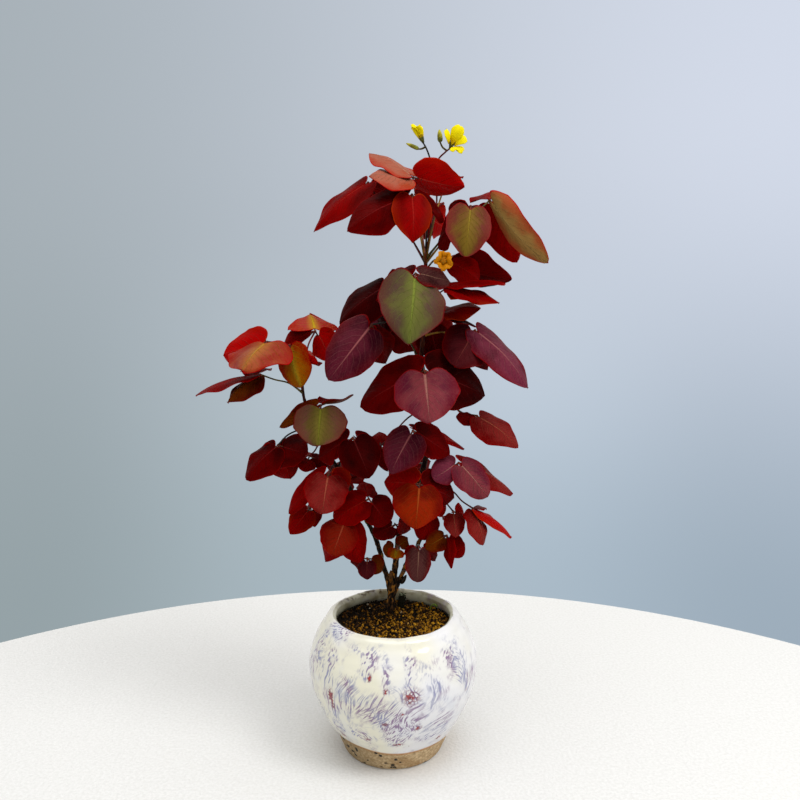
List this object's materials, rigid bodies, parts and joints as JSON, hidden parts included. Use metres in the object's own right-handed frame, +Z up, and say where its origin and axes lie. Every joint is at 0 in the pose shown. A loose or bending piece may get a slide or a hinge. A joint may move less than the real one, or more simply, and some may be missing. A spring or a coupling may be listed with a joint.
{
  "type": "fire fern bonsai in a pot",
  "caption": "Small fire fern bonsai with crimson and olive three-part leaves and small yellow flowers, growing in a round cream-glazed pot of granular soil.",
  "frame": {"origin": "middle of the pot's flat foot, on the surface that it stands on", "axes": "+Z up along the pot's axis, -Y towards the side that the picture shows, +X to the right there"},
  "size_m": [0.1601, 0.0899, 0.2919],
  "materials": {
    "glaze": "glossy cream glaze with purple and blue-grey streaks over a buff foot",
    "soil": "matt baked clay and pumice grains",
    "bark": "rough dark bark with orange-brown flakes, smoother on the leaf stalks",
    "leaf": "satin crimson to olive leaf with a pale midrib",
    "petal": "soft yellow petal",
    "bud": "matt green bud"
  },
  "bodies": {
    "root": {"pot": "glaze", "soil": "soil", "trunk_and_stems": "bark", "leaf_top_cap": "leaf", "leaf_top_drop": "leaf", "leaf_top_far_left": "leaf", "leaf_top_olive": "leaf", "leaf_top_right": "leaf", "leaf_top_back": "leaf", "leaf_middle_green": "leaf", "leaf_middle_dark": "leaf", "leaf_right_upper": "leaf", "leaf_right_level": "leaf", "leaf_middle_purple": "leaf", "leaf_middle_heart": "leaf", "leaf_small_right": "leaf", "leaf_right_small": "leaf", "leaf_right_mauve": "leaf", "leaf_middle_behind": "leaf", "leaf_left_salmon": "leaf", "leaf_left_top": "leaf", "leaf_left_orange": "leaf", "leaf_left_low": "leaf", "leaf_left_olive": "leaf", "leaf_low_far_left": "leaf", "leaf_low_small_left": "leaf", "leaf_low_dark": "leaf", "leaf_low_back_red": "leaf", "leaf_low_crimson": "leaf", "leaf_low_red": "leaf", "leaf_low_orange": "leaf", "leaf_low_deep": "leaf", "leaf_low_centre": "leaf", "leaf_low_gold": "leaf", "leaf_low_petite": "leaf", "leaf_centre_purple": "leaf", "leaf_right_purple": "leaf", "leaf_orange": "leaf", "leaf_right_inner": "leaf", "leaf_right_drop": "leaf", "leaf_right_low": "leaf", "leaf_right_far": "leaf", "leaf_low_purple": "leaf", "leaf_back_top": "leaf", "leaf_back_middle": "leaf", "leaf_back_heart": "leaf", "leaf_back_left": "leaf", "leaf_back_low": "leaf", "leaf_back_low_left": "leaf", "flower_side": "petal", "flower_open": "petal", "flower_orange": "petal", "bud_left": "bud", "bud_right": "bud"}
  },
  "joints": []
}
